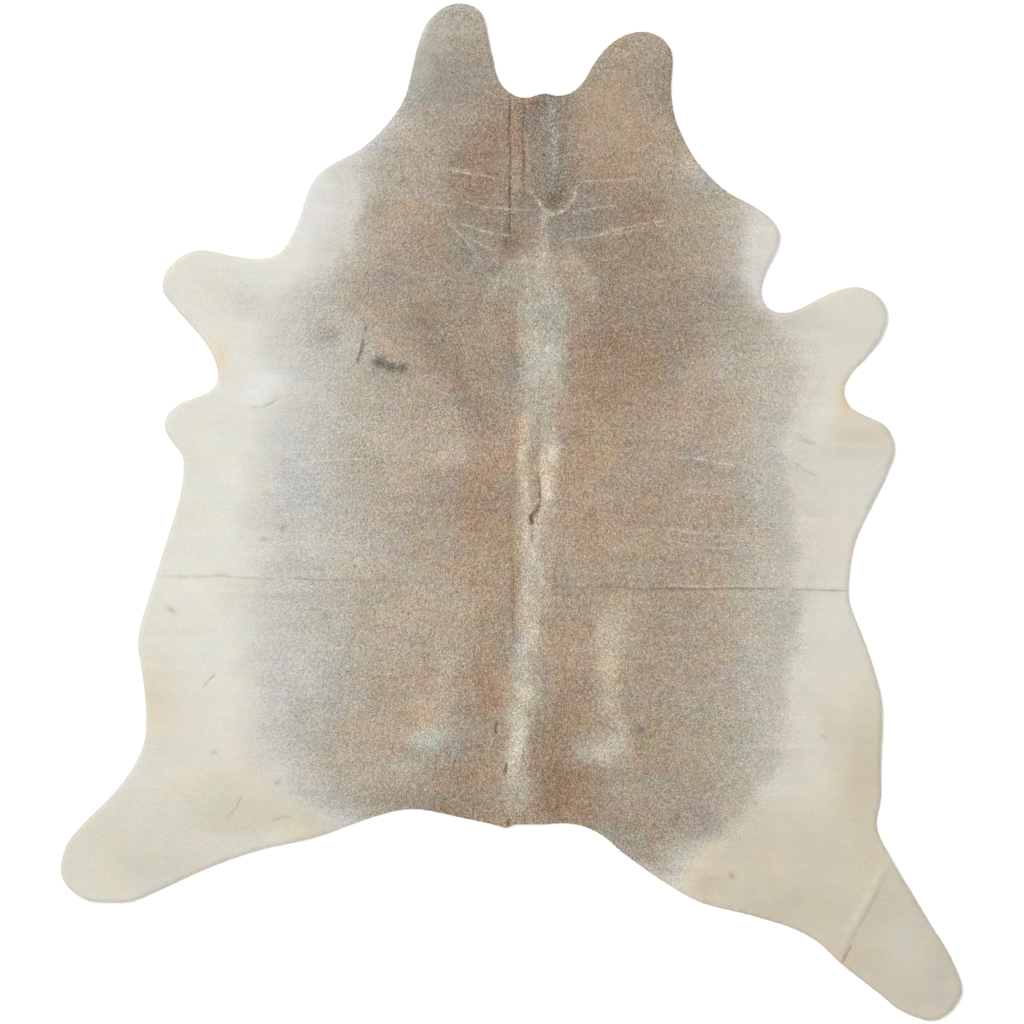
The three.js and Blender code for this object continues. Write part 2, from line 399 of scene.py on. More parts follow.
# Bands along the back and flanks, painted over the patches.
BACK_BANDS = (
    Band("dark neck band", ((92, 960), (96, 700)), 72, (136, 127, 114), 0.85, fade=40, speckle=3.0),
    Band("neck stripe", ((105, 925), (92, 842), (99, 755)), 17,
         (172, 168, 156), 0.65, fade=40, speckle=2.0),
    Band("back over withers", ((72, 640), (74, 530), (74, 470)), 62, (176, 171, 157), 0.6, fade=80),
    Band("withers ridge", ((80, 690), (67, 606), (58, 542), (60, 470)), 17, (190, 185, 170), 0.55, fade=20),
    Band("back over shoulders left", ((42, 520), (42, 340), (46, 150)), 42, (184, 182, 168), 0.68, fade=90),
    Band("back over shoulders right", ((88, 540), (88, 340), (82, 170)), 56,
         (183, 180, 166), 0.66, fade=90),
    Band("back behind shoulders", ((63, 290), (62, 130)), 48, (181, 175, 160), 0.5, fade=60),
    Band("crevice flank left", ((30, 240), (30, 143), (32, 30), (32, -28)), 25,
         (205, 192, 173), 0.7, fade=80),
    Band("crevice flank right", ((88, 200), (85, 110), (78, 30), (66, -30)), 34,
         (210, 203, 187), 0.82, fade=90),
    Band("back over loin", ((38, 10), (43, -60), (45, -120), (40, -200), (36, -290)), 38,
         (201, 191, 174), 0.85, fade=40),
    Band("loin right", ((68, 0), (66, -120), (62, -260)), 38, (188, 178, 162), 0.6, fade=60),
    Band("back over rump",
         ((35, -235), (37, -300), (31, -370), (24, -430), (15, -493), (13, -575), (20, -690)),
         44, (199, 192, 176), 0.8, fade=80, speckle=0.8),
    Band("back at hips", ((22, -440), (15, -560)), 34, (208, 201, 186), 0.6, fade=40),
    Band("loin edge left", ((0, 10), (-1, -120), (3, -290)), 7, (146, 122, 96), 0.7, fade=40),
    Band("streak right", ((222, -215), (219, -330), (213, -480)), 46, (194, 184, 166), 0.72, fade=70),
    Band("withers arm left", ((46, 574), (-20, 520), (-66, 480)), 36, (178, 168, 152), 0.75, fade=40),
    Band("withers arm right", ((104, 606), (155, 540), (200, 462)), 38, (177, 164, 148), 0.7, fade=40),
    Band("shoulder blade left", ((-225, 505), (-150, 364), (-76, 215), (-42, 150)), 55,
         (149, 132, 114), 0.7, fade=80),
    Band("streak left", ((-148, -250), (-152, -360), (-165, -460)), 42, (190, 178, 160), 0.5, fade=90),
)

# Creases of the skin, and the small marks that a life outdoors leaves. The tints of the creases,
# folds and wrinkles are painted light: painted shade along their troughs and shaded sides, and
# painted highlights on their ridges. The scar, scratches, nicks and notch are the hide's own marks.
CREASES = (
    # Neck creases: painted shade in their troughs, and a painted highlight on the roll beside them.
    Stroke("neck crease", ((-2, 960), (-4, 870), (-1, 790), (-4, 700), (-3, 600), (-5, 570)), 4.4,
           (106, 88, 70), 0.66, -1.6, 70),
    Stroke("neck crease foot", ((-9, 654), (-14, 620), (-8, 585)), 8, (116, 98, 82), 0.5, -0.5, 20),
    Stroke("second neck crease", ((28, 950), (27, 850), (30, 760), (29, 705)), 5.5,
           (114, 93, 74), 0.6, -1.0, 60),
    Stroke("third neck crease", ((46, 950), (45, 870)), 7, (134, 108, 88), 0.35, -0.5, 30),
    Stroke("neck roll side", ((13, 955), (13, 760)), 13, (170, 138, 112), 0.6, 0.6, 80),
    # Packing crease: painted shade along its dark side and a painted highlight along its lit side.
    Stroke("packing crease left", ((-800, -142), (-657, -144), (-480, -151)), 3.4,
           (184, 175, 156), 0.45, 0.8, 60),
    Stroke("packing crease middle", ((-520, -149), (-484, -151), (-220, -158), (20, -164)), 3.0,
           (134, 121, 105), 0.34, 0.6, 60, -2.0),
    Stroke("packing crease loin", ((80, -165), (216, -168), (500, -171), (640, -173)), 3.2,
           (120, 109, 94), 0.62, 0.6, 130, -3.0),
    Stroke("packing crease light", ((300, -164), (500, -166), (600, -168)), 3.4,
           (205, 199, 186), 0.4, 0.4, 90, -2.0),
    Stroke("packing crease right", ((620, -173), (775, -177)), 3.4, (160, 150, 130), 0.6, 0.8, 30),
    # Spine crevice: painted shade in its trough.
    Stroke("back line", ((61, 225), (61, 80)), 9, (156, 140, 120), 0.55, -0.4, 50),
    Stroke("back crevice", ((61, 96), (65, 30), (60, 8)), 6.0, (116, 93, 70), 0.8, -1.5, 30),
    Stroke("crevice hook", ((64, 22), (60, 10), (43, -8), (47, -27)), 7.5, (88, 67, 48), 0.9, -1.7, 8),
    Stroke("crevice foot", ((45, -18), (47, -80)), 4.5, (150, 130, 106), 0.6, -0.6, 30),
    Stroke("whorl crescent left", ((34, 738), (57, 706), (74, 682)), 7, (192, 187, 175), 0.66, 0.5, 14),
    Stroke("whorl crescent right", ((144, 738), (139, 706), (118, 680)), 6, (188, 183, 170), 0.58, 0.5, 14),
    Stroke("whorl crescent foot", ((70, 685), (82, 676), (96, 673), (110, 675), (121, 682)), 7,
           (190, 185, 172), 0.66, 0.4, 8),
    # Hind leg fold: painted shade in the fold and at its end, and a painted highlight on its ridge.
    Stroke("hind leg fold", ((862, -776), (742, -1011)), 5.0, (170, 160, 137), 0.45, -1.2, 150),
    Stroke("hind leg fold end", ((768, -972), (745, -1010), (735, -1026)), 5.0,
           (146, 131, 110), 0.6, -1.5, 16),
    Stroke("hind leg ridge", ((848, -772), (724, -1006)), 14, (219, 212, 196), 0.5, 1.8, 120),
    # Armpit folds: painted shade in their lines, and a painted highlight on the right one's ridge.
    Stroke("left armpit line", ((-594, 240), (-576, 236), (-556, 238), (-536, 247), (-517, 261)), 4.6,
           (176, 170, 154), 0.7, -1.3, 30),
    Stroke("right armpit line", ((633, 171), (648, 161), (666, 156), (692, 152)), 5.0,
           (182, 173, 153), 0.55, -1.0, 25),
    Stroke("right armpit ridge", ((690, 157), (806, 150), (850, 152)), 9, (222, 215, 198), 0.4, 0.9, 40),
    # Neck wrinkles: painted highlights on their ridges.
    Stroke("neck wrinkle a", ((-140, 769), (-70, 758), (-20, 751)), 3.4, (206, 198, 181), 0.72, 0.7),
    Stroke("neck wrinkle b", ((148, 744), (211, 749), (292, 751)), 3.2, (190, 182, 164), 0.48, 0.5),
    Stroke("neck wrinkle c", ((-112, 703), (-50, 688), (54, 679)), 3.2, (193, 185, 168), 0.58, 0.5),
    Stroke("neck wrinkle d", ((128, 672), (173, 683), (241, 690)), 3.4, (195, 187, 171), 0.6, 0.6),
    Stroke("neck wrinkle e", ((110, 611), (211, 627), (274, 645), (360, 659)), 3.5,
           (198, 190, 174), 0.62, 0.7),
    Stroke("neck wrinkle f", ((225, 622), (313, 645), (372, 646)), 3.1, (192, 184, 168), 0.5, 0.5),
    Stroke("neck wrinkle g", ((-120, 652), (-36, 627), (9, 620)), 3.4, (198, 191, 175), 0.66, 0.6),
    Stroke("neck wrinkle h", ((-133, 648), (-96, 602), (-61, 560)), 3.3, (194, 187, 173), 0.7, 0.5),
    Stroke("neck wrinkle i", ((-112, 628), (-70, 604), (-31, 587)), 3.1, (194, 187, 173), 0.66, 0.5),
    Stroke("neck wrinkle k", ((-230, 698), (-170, 692), (-110, 690)), 3.0, (192, 184, 168), 0.42, 0.4),
    Stroke("neck wrinkle j", ((150, 590), (210, 566), (260, 578)), 3.0, (188, 180, 164), 0.35, 0.4),
    # Rib wrinkles: painted highlights on their ridges.
    Stroke("rib wrinkle left a", ((-490, 112), (-400, 117), (-310, 122)), 3.6,
           (212, 207, 197), 0.62, 0.5, 50, -2.0),
    Stroke("rib wrinkle left b", ((-440, 37), (-360, 28), (-300, 22)), 3.2, (200, 193, 181), 0.4, 0.4, 40),
    Stroke("rib wrinkle left c", ((-560, 62), (-470, 48), (-400, 44)), 3.2, (206, 203, 197), 0.35, 0.4, 40),
    Stroke("rib wrinkle right a", ((350, 128), (440, 118), (522, 96)), 3.8, (204, 196, 181), 0.6, 0.6, 50),
    Stroke("rib wrinkle right b", ((380, 52), (450, 44), (530, 31)), 3.4, (200, 191, 176), 0.45, 0.5, 50),
    Stroke("rib wrinkle right c", ((330, -38), (430, -44), (545, -56)), 3.6,
           (204, 196, 182), 0.55, 0.5, 60, -2.0),
    Stroke("rib wrinkle right d", ((330, -62), (420, -74), (520, -80)), 3.2,
           (200, 191, 176), 0.35, 0.4, 50),
    Stroke("rib wrinkle right e", ((215, -130), (300, -126), (370, -122)), 3.2,
           (198, 188, 172), 0.35, 0.4, 40),
    # The hide's own marks: a scar, scratches, nicks and a notch.
    Stroke("long scar", ((-328, 424), (-334, 395), (-346, 336)), 6.2,
           (118, 106, 97), 0.7, -0.5, 6, 2.0, breaks=0.45),
    Stroke("right armpit scratch", ((635, 116), (664, 92), (689, 78)), 3.0, (176, 168, 150), 0.5, -0.4, 15),
    Stroke("left flank scratch", ((-693, -394), (-678, -376), (-666, -365)), 3.2,
           (172, 163, 146), 0.6, -0.4, 8),
    Stroke("left haunch scratch", ((-603, -633), (-618, -664), (-641, -687)), 3.2,
           (166, 157, 138), 0.55, -0.4, 10),
    Stroke("left rump scratch", ((-540, -696), (-516, -688), (-493, -685)), 3.0,
           (168, 156, 134), 0.5, -0.3, 10),
    Stroke("right flank scratch", ((691, -500), (718, -514)), 3.2, (178, 166, 144), 0.5, -0.3, 8),
    Stroke("rump nick", ((-34, -470), (-37, -497)), 5.2, (90, 70, 54), 0.85, -0.7, 8),
    Stroke("rump nick low", ((-10, -562), (-13, -590)), 5.0, (96, 76, 60), 0.8, -0.6, 8),
    Stroke("tail notch", ((-6, -686), (-7, -709)), 7.0, (84, 64, 48), 0.85, -0.9, 8),
    Stroke("rump line", ((30, -520), (30, -564)), 3.0, (140, 122, 100), 0.5, -0.3, 12),
)

# Dark spots and smudges, painted last.
SPOTS = (
    Patch("whorl heart", 99, 704, 20, 19, (108, 96, 84), 0.65, 2.5),
    Patch("dim rump band", 17, -640, 38, 48, (170, 159, 141), 0.75),
    Patch("dim back", 86, 416, 32, 30, (166, 161, 148), 0.45),
    Patch("old blotch left", -297, 338, 13, 12, (90, 83, 78), 0.85, 2.0),
    Patch("old blotch", -270, 327, 17, 11, (92, 85, 79), 0.75, 2.0, -12),
    Patch("old blotch right", -243, 325, 11, 11, (98, 90, 83), 0.7, 2.0),
    Patch("faint mottle", -424, 396, 32, 26, (160, 154, 146), 0.5, 4.0),
    Patch("faint mottle edge", -400, 402, 14, 14, (142, 136, 129), 0.4, 3.0),
    Patch("flank smudge", -765, -219, 13, 5, (180, 172, 156), 0.6, turn=-35),
    Patch("flank spot", -668, -541, 5, 4, (168, 158, 142), 0.6),
    Patch("thigh spot", -526, -608, 5, 4, (160, 150, 134), 0.6),
    Patch("rib spot", -416, -232, 6, 5, (150, 146, 140), 0.6),
    Patch("rump dot", 495, -817, 4.5, 5, (142, 122, 98), 0.75),
    Patch("rump smudge", 366, -690, 15, 18, (120, 113, 105), 0.6, 2.0),
    Patch("back fleck", 63, 207, 5, 8, (146, 134, 116), 0.5),
    Patch("thigh dot", 547, -653, 5, 4, (150, 138, 122), 0.6),
    Patch("hip mark right", 288, -490, 17, 9, (124, 114, 101), 0.75, 3.0, 20),
    Patch("hip mark", 219, -486, 14, 6, (140, 128, 112), 0.65, 3.0, -15),
    Patch("grey rib mark", -518, -34, 12, 6, (160, 158, 154), 0.5, 2.0, -30),
    Patch("grey rib mark low", -555, -60, 10, 5, (162, 160, 157), 0.5, 2.0),
)

# The edge of the dark coat from head to rump: y, its left and right edge, and how far inside
# the left and the right edge the coat gains its depth of colour, all in mm.
SADDLE_ROWS = np.array([
    (1200, -205, 900, 60, 150), (1084, -212, 900, 70, 150), (1016, -236, 900, 90, 150),
    (926, -290, 900, 80, 150), (859, -312, 900, 66, 150), (790, -362, 900, 60, 150),
    (740, -360, 620, 60, 90), (680, -357, 545, 60, 110), (634, -370, 536, 65, 125),
    (590, -389, 540, 90, 125), (535, -430, 545, 120, 110), (497, -475, 552, 140, 110),
    (454, -512, 600, 155, 120), (400, -525, 650, 150, 150), (344, -514, 678, 150, 150),
    (297, -471, 670, 150, 120), (249, -465, 655, 150, 95), (202, -484, 626, 155, 90),
    (155, -512, 614, 165, 95), (94, -539, 632, 173, 98), (4, -545, 648, 190, 90),
    (-86, -550, 648, 206, 83), (-199, -571, 648, 200, 95), (-311, -574, 646, 196, 108),
    (-424, -560, 630, 160, 96), (-536, -540, 612, 126, 90), (-630, -490, 572, 120, 100),
    (-690, -410, 528, 120, 110), (-725, -360, 492, 120, 130), (-760, -310, 448, 110, 150),
    (-800, -250, 414, 110, 150), (-860, -200, 380, 100, 150),
])

# The coat by depth inside that edge: depth (200 where the fade ends, then mm), colour, speckle.
COAT_RAMP = np.array([
    (0, 208, 205, 197, 3.6), (52, 199, 196, 190, 5.6), (120, 190, 186, 176, 7.0),
    (200, 181, 174, 160, 8.6), (300, 174, 160, 143, 9.4), (450, 167, 151, 132, 9.8),
])


@dataclass(frozen=True)
class Coat:
    """The colour, speckle and lay of the hair anywhere on the hide.

    Places and lengths are mm. A Span says where something starts and where it is complete.
    """

    cream: Tint = (224, 222, 211)
    cream_speckle: float = 0.2
    edge_wander: float = 8.0
    blotch: float = 1.5
    rim_calm: float = 0.55
    raggedness: float = 6.0
    full_depth: float = 200.0
    right_rim: Tint = (-1.0, -3.0, -7.0)
    rough_speckle: float = 6.0
    # Painted shade: how much darker plain, flat-lying hair is painted.
    flat_hair_painted_shade: float = 0.04
    fade_in: Span = (-95.0, 14.0)
    patches_in: Span = (-10.0, 90.0)
    rim_across: Span = (0.0, 450.0)
    rim_inside: Span = (40.0, 260.0)
    rim_down: Span = (-480.0, -360.0)
    calm_inside: Span = (60.0, 300.0)
    rump_y: float = -842.0
    rump_half: float = 480.0
    rump_rate: float = 3.0
    warm_hue: Tint = (0.95, -0.05, -1.0)
    green_hue: Tint = (-0.55, 0.55, -0.55)
    least_blotch: float = 0.5
    # Crosswise streaks of lighter and darker: painted light and shade of fine wrinkles.
    wrinkle_shading: Mottle = Mottle(24, 5.0, stretch=16.0)
    wrinkle_shading_squeeze: float = 1.03
    strands: Mottle = Mottle(33, 4.5, stretch=7.0)
    strand_strength: float = 1.6
    back_x: float = 55.0
    back_reach: float = 80.0
    whorl: Span = (101.0, 690.0)
    whorl_reach: float = 40.0
    whorl_turn: float = 20.0
    whorl_wander: float = 9.0
    mane_reach: float = 55.0
    mane_start: Span = (-25.0, 35.0)
    parting: float = 5.6
    parting_reach: float = 25.0
    flank_lean: float = 1.1
    flank_middle: float = 60.0
    flank_reach: float = 420.0
    lay_wander: float = 0.09

    def depth(self, x: np.ndarray, y: np.ndarray) -> np.ndarray:
        """How deep each place lies inside the dark coat's edge.

        Args:
            x: Places across.
            y: Places along.

        Returns:
            The depth by the coat's ramp, less than 0 outside.
        """
        rows = SADDLE_ROWS[::-1]
        wander = self.edge_wander * layered(EDGE_LAYERS, x, y)
        left_edge, right_edge, left_fade, right_fade = (
            np.interp(y, rows[:, 0], rows[:, i]) for i in (1, 2, 3, 4)
        )
        left = self.deepen(x - left_edge + wander, left_fade)
        right = self.deepen(right_edge - x + wander, right_fade)
        tail = np.where(np.abs(x) < self.rump_half, self.rump_rate * (y - self.rump_y), left)
        return np.minimum(np.minimum(left, right), tail)

    def deepen(self, inside: np.ndarray, fade: np.ndarray) -> np.ndarray:
        """Turns a distance inside the edge into the ramp's depth, the fade's end being 200."""
        stretched = np.where(inside < 0.0, inside, inside * self.full_depth / fade)
        return np.where(inside < fade, stretched, self.full_depth + inside - fade)

    def paint(self, x: np.ndarray, y: np.ndarray) -> tuple[np.ndarray, np.ndarray]:
        """The coat's display colour and the strength of its speckle.

        Args:
            x: Places across, in mm.
            y: Places along, in mm.

        Returns:
            One colour a place, from 0 to 255, and one speckle a place.
        """
        tint = np.tile(np.array(self.cream, float), (len(x), 1))
        speckle = np.full(len(x), self.cream_speckle)
        ragged_x = x + self.raggedness * layered(RAGGED_ACROSS, x, y)
        ragged_y = y + self.raggedness * layered(RAGGED_ALONG, x, y)
        # The cream patches hold painted shade over the right side, the haunches and the right hind leg.
        for patch in CREAM_PATCHES:
            tint, speckle = self.lay_on(tint, speckle, patch.weight(ragged_x, ragged_y), patch)
        depth = self.depth(x, y)
        dark = np.stack([np.interp(depth, COAT_RAMP[:, 0], COAT_RAMP[:, i]) for i in (1, 2, 3)], 1)
        rim = smooth_step(*self.rim_across, x) * (1.0 - smooth_step(*self.rim_inside, depth))
        rim = rim * smooth_step(*self.rim_down, -y)
        dark = np.minimum(dark + rim[:, None] * np.array(self.right_rim), tint)
        share = smooth_step(*self.fade_in, depth)
        inside = smooth_step(*self.patches_in, depth)
        tint += (dark - tint) * share[:, None]
        speckle = speckle + (np.interp(depth, COAT_RAMP[:, 0], COAT_RAMP[:, 4]) - speckle) * share**2
        for patch in COAT_PATCHES:
            tint, speckle = self.lay_on(tint, speckle, patch.weight(ragged_x, ragged_y) * inside, patch)
        for band in BACK_BANDS:
            tint, speckle = self.lay_on(tint, speckle, band.strength * band.weight(x, y), band)
        tint += self.blotches(x, y, share, depth)
        # Painted shade and highlights of the creases, folds and wrinkles, with the hide's own scratches and
        # nicks.
        for crease in CREASES:
            tint, speckle = self.lay_on(tint, speckle, crease.strength * crease.weight(x, y), crease)
        for spot in SPOTS:
            tint, speckle = self.lay_on(tint, speckle, spot.weight(x, y), spot)
        # Plain, flat-lying hair is painted a little darker, as painted shade for the self-shadowing that
        # its flat locks no longer cast.
        return tint * (1.0 - self.flat_hair_painted_shade * self.flatness(speckle))[:, None], speckle

    def flatness(self, speckle: np.ndarray) -> np.ndarray:
        """How flat the hair lies, from 0 in the roan coat to 1 where it is plain."""
        return 1.0 - np.clip(speckle / self.rough_speckle, 0.0, 1.0)

    @staticmethod
    def lay_on(
        tint: np.ndarray, speckle: np.ndarray, weight: np.ndarray, mark: Patch | Stroke
    ) -> tuple[np.ndarray, np.ndarray]:
        """Paints a mark's colour over the coat by weight.

        Args:
            tint: The coat's colours so far.
            speckle: Its speckle so far.
            weight: How strongly the mark shows at each place.
            mark: The patch or stroke.

        Returns:
            The new colours and speckle.
        """
        tint = tint + (np.array(mark.tint) - tint) * weight[:, None]
        return tint, speckle + mark.speckle * weight

    def blotches(self, x: np.ndarray, y: np.ndarray, dark: np.ndarray, depth: np.ndarray) -> np.ndarray:
        """Soft changes of colour a few centimetres wide, stronger where the coat is dark, with crosswise
        streaks that are painted light and shade of fine wrinkles.

        Args:
            x: Places across.
            y: Places along.
            dark: How dark the coat is at each place, from 0 to 1.
            depth: How deep each place lies inside the dark coat's edge.

        Returns:
            What each place's colour gains.
        """
        amount = self.blotch * (self.least_blotch + (1.0 - self.least_blotch) * dark)[:, None]
        colour = 1.0 - self.rim_calm * dark * (1.0 - smooth_step(*self.calm_inside, depth))
        # Painted light and shade of fine crosswise wrinkles.
        wrinkle_shading = self.wrinkle_shading.at(x, self.wrinkle_shading_squeeze * y)
        back = np.exp(-(((x - self.back_x) / self.back_reach) ** 2))
        strands = self.strand_strength * self.strands.at(y, x) * back
        light = layered(LIGHT_LAYERS, x, y) + wrinkle_shading + strands
        warm = layered(WARM_LAYERS, x, y)[:, None] * np.array(self.warm_hue)
        green = layered(GREEN_LAYERS, x, y)[:, None] * np.array(self.green_hue)
        return amount * (light[:, None] + colour[:, None] * (warm + green))

    def lay(self, x: np.ndarray, y: np.ndarray) -> np.ndarray:
        """The way the hair points.

        Args:
            x: Places across, in mm.
            y: Places along, in mm.

        Returns:
            One angle a place, in radians from the +X axis.
        """
        off_x = x - self.whorl[0] + self.whorl_wander * Mottle(35, 30.0).at(x, y)
        off_y = y - self.whorl[1]
        side = np.tanh((x - self.flank_middle) / self.flank_reach) * self.flank_lean
        mane = np.exp(-((off_x / self.mane_reach) ** 2)) * smooth_step(*self.mane_start, off_y)
        near = np.exp(-(off_x**2 + off_y**2) / self.whorl_reach**2)
        parting = self.parting * mane * (1.0 - mane) * np.tanh(off_x / self.parting_reach)
        across = side * (1.0 - mane) + parting + near * off_x / self.whorl_turn
        angle = np.arctan2(2.0 * mane - 1.0, across)
        return angle + self.lay_wander * Mottle(31, 90.0).at(x, y)


def is_near(places: np.ndarray, others: np.ndarray, room: float) -> np.ndarray:
    """Tells which places lie about as close as room to any of the others.

    Args:
        places: One row of x and y each.
        others: The same for the others.
        room: The distance.

    Returns:
        True or False for each place.
    """
    cells = np.floor(others / room).astype(int)
    around = np.array([(i, j) for i in (-1, 0, 1) for j in (-1, 0, 1)])
    busy = (cells[:, None, :] + around[None, :, :]).reshape(-1, 2)
    wide = 100_000
    mine = np.floor(places / room).astype(int)
    return np.isin(mine[:, 0] * wide + mine[:, 1], busy[:, 0] * wide + busy[:, 1])


def path_run(path: np.ndarray) -> np.ndarray:
    """How far along a path each of its points lies."""
    return np.concatenate([[0.0], np.cumsum(np.hypot(*np.diff(path, axis=0).T))])


def along_path(path: np.ndarray, run: np.ndarray, places: np.ndarray) -> np.ndarray:
    """The points of a path that lie as far along it as places say."""
    return np.stack([np.interp(places, run, path[:, i]) for i in (0, 1)], 1)


class Outline:
    """The hide's cut edge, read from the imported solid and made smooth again."""

    def __init__(self, solid: bmesh.types.BMesh, step: float) -> None:
        """Reads the rim of the solid's top.

        Args:
            solid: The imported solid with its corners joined.
            step: Spacing of the smooth edge's points, in metres.
        """
        self.points = self.smoothed(self.corners(self.rim(solid)), step)

    @staticmethod
    def rim(solid: bmesh.types.BMesh) -> np.ndarray:
        """Walks round the border between the solid's top and its side.

        Args:
            solid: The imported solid.

        Returns:
            One row of x and y for each corner, anticlockwise.
        """
        follows: dict[int, int] = {}
        for face in solid.faces:
            if face.normal.z < TOP_NORMAL:
                continue
            for loop in face.loops:
                if loop.link_loop_radial_next.face.normal.z < TOP_NORMAL:
                    follows[loop.vert.index] = loop.link_loop_next.vert.index
        start = next(iter(follows))
        order = [start]
        while follows[order[-1]] != start:
            order.append(follows[order[-1]])
        solid.verts.ensure_lookup_table()
        return np.array([solid.verts[i].co.xy for i in order])

    @staticmethod
    def corners(rim: np.ndarray) -> np.ndarray:
        """Drops the rim's points that lie on a straight run between two corners."""
        before = rim - np.roll(rim, 1, 0)
        after = np.roll(rim, -1, 0) - rim
        turn = before[:, 0] * after[:, 1] - before[:, 1] * after[:, 0]
        size = np.hypot(*before.T) * np.hypot(*after.T) + 1e-12
        return rim[np.abs(turn / size) > np.sin(np.radians(CORNER_TURN))]

    @staticmethod
    def smoothed(corners: np.ndarray, step: float) -> np.ndarray:
        """Joins the corners by a smooth closed curve with evenly spaced points.

        Args:
            corners: One row for each corner.
            step: The spacing, in metres.

        Returns:
            One row of x and y for each point.
        """
        before, here, after, beyond = (np.roll(corners, k, 0) for k in (1, 0, -1, -2))
        dense = []
        for t in np.linspace(0.0, 1.0, CURVE_STEPS, endpoint=False):
            dense.append(0.5 * (
                2 * here + (after - before) * t
                + (2 * before - 5 * here + 4 * after - beyond) * t**2
                + (3 * here - before - 3 * after + beyond) * t**3
            ))
        curve = np.stack(dense, 1).reshape(-1, 2)
        closed = np.vstack([curve, curve[:1]])
        run = path_run(closed)
        places = np.linspace(0.0, run[-1], int(run[-1] / step), endpoint=False)
        return along_path(closed, run, places)

    def crossings(self, y: float) -> np.ndarray:
        """Where a line across the hide at y meets the edge, from left to right."""
        after = np.roll(self.points, -1, 0)
        meets = (self.points[:, 1] > y) != (after[:, 1] > y)
        a, b = self.points[meets], after[meets]
        return np.sort(a[:, 0] + (y - a[:, 1]) * (b[:, 0] - a[:, 0]) / (b[:, 1] - a[:, 1]))

    def inner_grid(self, spacing: float, row_step: float, margin: float) -> np.ndarray:
        """Evenly set places inside the edge, every other row shifted by half.

        Args:
            spacing: Distance between places of a row, in metres.
            row_step: Distance between rows.
            margin: What is kept free inside the edge, along a row.

        Returns:
            One row of x and y for each place.
        """
        found = []
        low, high = self.points[:, 1].min(), self.points[:, 1].max()
        for i, y in enumerate(np.arange(low + row_step / 2, high, row_step)):
            ends = self.crossings(y)
            for left, right in zip(ends[::2], ends[1::2]):
                first = np.ceil((left + margin) / spacing - i % 2 / 2) + i % 2 / 2
                xs = np.arange(first * spacing, right - margin, spacing)
                found.append(np.stack([xs, np.full(len(xs), y)], 1))
        return np.concatenate(found)

    def area(self) -> float:
        """The area inside the edge, in square metres."""
        (x, y), (next_x, next_y) = self.points.T, np.roll(self.points, -1, 0).T
        return abs(np.sum(x * next_y - next_x * y)) / 2

    def on_map(self, places: np.ndarray) -> np.ndarray:
        """Places as shares of the hide's larger size, from the lower left of its outline."""
        return (places - self.points.min(0)) / float(np.ptp(self.points, axis=0).max())

    def normals(self) -> np.ndarray:
        """The way out of the hide at each point of the edge."""
        along = np.roll(self.points, -1, 0) - np.roll(self.points, 1, 0)
        along /= np.hypot(*along.T)[:, None]
        return np.stack([along[:, 1], -along[:, 0]], 1)

    def nearest(self, places: np.ndarray, batch: int = 4000) -> tuple[np.ndarray, np.ndarray]:
        """Finds the edge's nearest point to each place.

        Args:
            places: One row of x and y each.
            batch: How many places are measured at a time.

        Returns:
            The way out of the hide there, and how far inside the edge each place lies.
        """
        ways, depths = [], []
        normals = self.normals()
        for start in range(0, len(places), batch):
            away = places[start:start + batch, None, :] - self.points[None, :, :]
            index = (away**2).sum(2).argmin(1)
            out = normals[index]
            ways.append(out)
            depths.append(-(away[np.arange(len(index)), index] * out).sum(1))
        return np.concatenate(ways), np.concatenate(depths)


@dataclass
class Relief:
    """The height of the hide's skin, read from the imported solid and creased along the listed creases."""

    solid: bmesh.types.BMesh
    knot: float = 16 * MM
    passes: int = 3
    hair_room: float = 1.0 * MM
    margin: float = 60 * MM
    knots: np.ndarray = field(init=False)
    corner: np.ndarray = field(init=False)

    def __post_init__(self) -> None:
        """Samples the solid's top on a grid and smooths its flat facets away."""
        tree = BVHTree.FromBMesh(self.top_only())
        places = np.array([v.co.xy for v in self.solid.verts])
        self.corner = places.min(0) - self.margin
        count = np.ceil((places.max(0) + self.margin - self.corner) / self.knot).astype(int) + 1
        knots = np.zeros((count[1], count[0]))
        for r in range(count[1]):
            for c in range(count[0]):
                knots[r, c] = self.top_at(tree, *(self.corner + self.knot * np.array([c, r])))
        for _ in range(self.passes):
            padded = np.pad(knots, 1, mode="edge")
            knots = (padded[:-2, 1:-1] + 2 * padded[1:-1, 1:-1] + padded[2:, 1:-1]) / 4
            padded = np.pad(knots, 1, mode="edge")
            knots = (padded[1:-1, :-2] + 2 * padded[1:-1, 1:-1] + padded[1:-1, 2:]) / 4
        self.knots = knots

    def top_only(self) -> bmesh.types.BMesh:
        """A copy of the solid without its side and its underside."""
        top = self.solid.copy()
        rest = [face for face in top.faces if face.normal.z < TOP_NORMAL]
        bmesh.ops.delete(top, geom=rest, context="FACES")
        return top

    @staticmethod
    def top_at(tree: BVHTree, x: float, y: float) -> float:
        """The height of the solid's top at a place, or at the nearest point of it."""
        hit = tree.ray_cast(Vector((x, y, 1.0)), Vector((0.0, 0.0, -1.0)))[0]
        if hit is None:
            hit = tree.find_nearest(Vector((x, y, 0.0)))[0]
        return hit.z

    def at(self, places: np.ndarray) -> np.ndarray:
        """The skin's height at places in metres.

        Args:
            places: One row of x and y each.

        Returns:
            One height each, in metres.
        """
        column, row = ((places - self.corner) / self.knot).T
        height = spline_read(self.knots, column, row) - self.hair_room
        x, y = (places / MM).T
        for crease in CREASES:
            height = height + crease.rise * MM * crease.weight(x, y)
        return height


